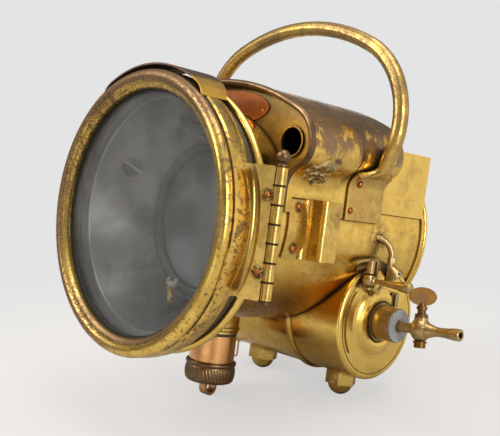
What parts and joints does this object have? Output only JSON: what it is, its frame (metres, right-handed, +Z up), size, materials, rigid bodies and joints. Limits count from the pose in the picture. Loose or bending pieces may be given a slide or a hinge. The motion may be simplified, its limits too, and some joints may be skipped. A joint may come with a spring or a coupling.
{
  "type": "acetylene headlamp",
  "caption": "Self-generating brass acetylene headlamp with a hinged glazed door, carrying hoop, crosswise carbide generator, gas tap and copper gas filter.",
  "frame": {"origin": "on the ground under the middle of the lamp's bounding box, as it stands on its two rear feet and the filter's loop", "axes": "+Z up, the lamp's longest extent; the lamp faces -Y, leaning back 10 degrees; +X is to the right as seen from the front, the side of the hinge and the gas tap"},
  "size_m": [0.2634, 0.269, 0.3016],
  "materials": {
    "brass": "old polished brass with brown specks",
    "tarnished_brass": "brown tarnish worn through to brass",
    "copper": "bright copper",
    "glass": "clear, slightly smoky",
    "rubber": "black",
    "reflector_silver": "dulled silver plate",
    "mirror": "silvered glass",
    "dark_metal": "blackened",
    "burner_clay": "steatite",
    "lead": "grey sealing metal",
    "tinned_steel": "tinned"
  },
  "bodies": {
    "lamp": {"lamp_drum": "brass", "front_rim": "brass", "rim_flare": "brass", "rear_cover": "brass", "canopy": "tarnished_brass", "canopy_lip": "tarnished_brass", "vent_panel": "brass", "back_panel": "brass", "name_plate": "copper", "rear_shroud": "brass", "filler_neck": "brass", "handle": "brass", "handle_rivets": "copper", "fork_sockets": "brass", "socket_rivets": "copper", "hinge_body_leaf": "brass", "hinge_pin": "tarnished_brass", "catch_spring": "brass", "reflector": "reflector_silver", "round_mirror": "mirror", "mirror_ring": "dark_metal", "burner_arm": "brass", "burner_tips": "burner_clay", "generator_shell": "brass", "generator_cap": "brass", "cap_boss": "brass", "lead_washer": "lead", "gas_tap_body": "brass", "cap_lug": "brass", "yoke": "tarnished_brass", "valve_body": "brass", "valve_nut": "brass", "gas_pipe": "brass", "feet": "brass", "filter_socket": "brass", "filter_seal": "rubber", "filter_tube": "copper", "staple": "brass"},
    "door": {"door_bezel": "brass", "door_hood": "tarnished_brass", "front_glass": "glass", "glass_gasket": "rubber", "glass_ring": "brass", "hinge_door_leaf": "brass", "leaf_rivets": "copper", "door_tab": "brass"},
    "tap_key": {"tap_plug": "tarnished_brass", "tap_nut": "tarnished_brass"},
    "lever": {"clamp_lever": "tarnished_brass"},
    "carbide_drawer": {"carbide_door": "brass", "end_seal": "rubber", "carbide_basket": "tinned_steel"},
    "filter_end": {"filter_cap": "tarnished_brass", "filter_loop": "copper"},
    "filler": {"filler_cap": "tarnished_brass"}
  },
  "joints": [
    {"name": "door_hinge", "type": "hinge", "parent": "lamp", "child": "door", "pos_m": [0.09207, -0.08615, 0.15573], "axis": [0, 0.1736, 0.9848], "range_deg": [0, 110]},
    {"name": "tap_turn", "type": "hinge", "parent": "lamp", "child": "tap_key", "pos_m": [0.09701, 0.06495, 0.06647], "axis": [-0.0785, 0.1731, 0.9818], "range_deg": [-45, 45]},
    {"name": "lever_swing", "type": "hinge", "parent": "lamp", "child": "lever", "pos_m": [0.06167, 0.04634, 0.10149], "axis": [0, -0.1736, -0.9848], "range_deg": [0, 80]},
    {"name": "drawer_slide", "type": "slide", "parent": "lamp", "child": "carbide_drawer", "axis": [-1, 0, 0], "range_m": [0, 0.1]},
    {"name": "filter_turn", "type": "hinge", "parent": "lamp", "child": "filter_end", "pos_m": [-0.04513, -0.02432, 0.01688], "axis": [0, 0.1736, 0.9848], "continuous": true},
    {"name": "filler_turn", "type": "hinge", "parent": "lamp", "child": "filler", "pos_m": [-0.01893, 0.10251, 0.21385], "axis": [0, 0.1736, 0.9848], "continuous": true}
  ]
}
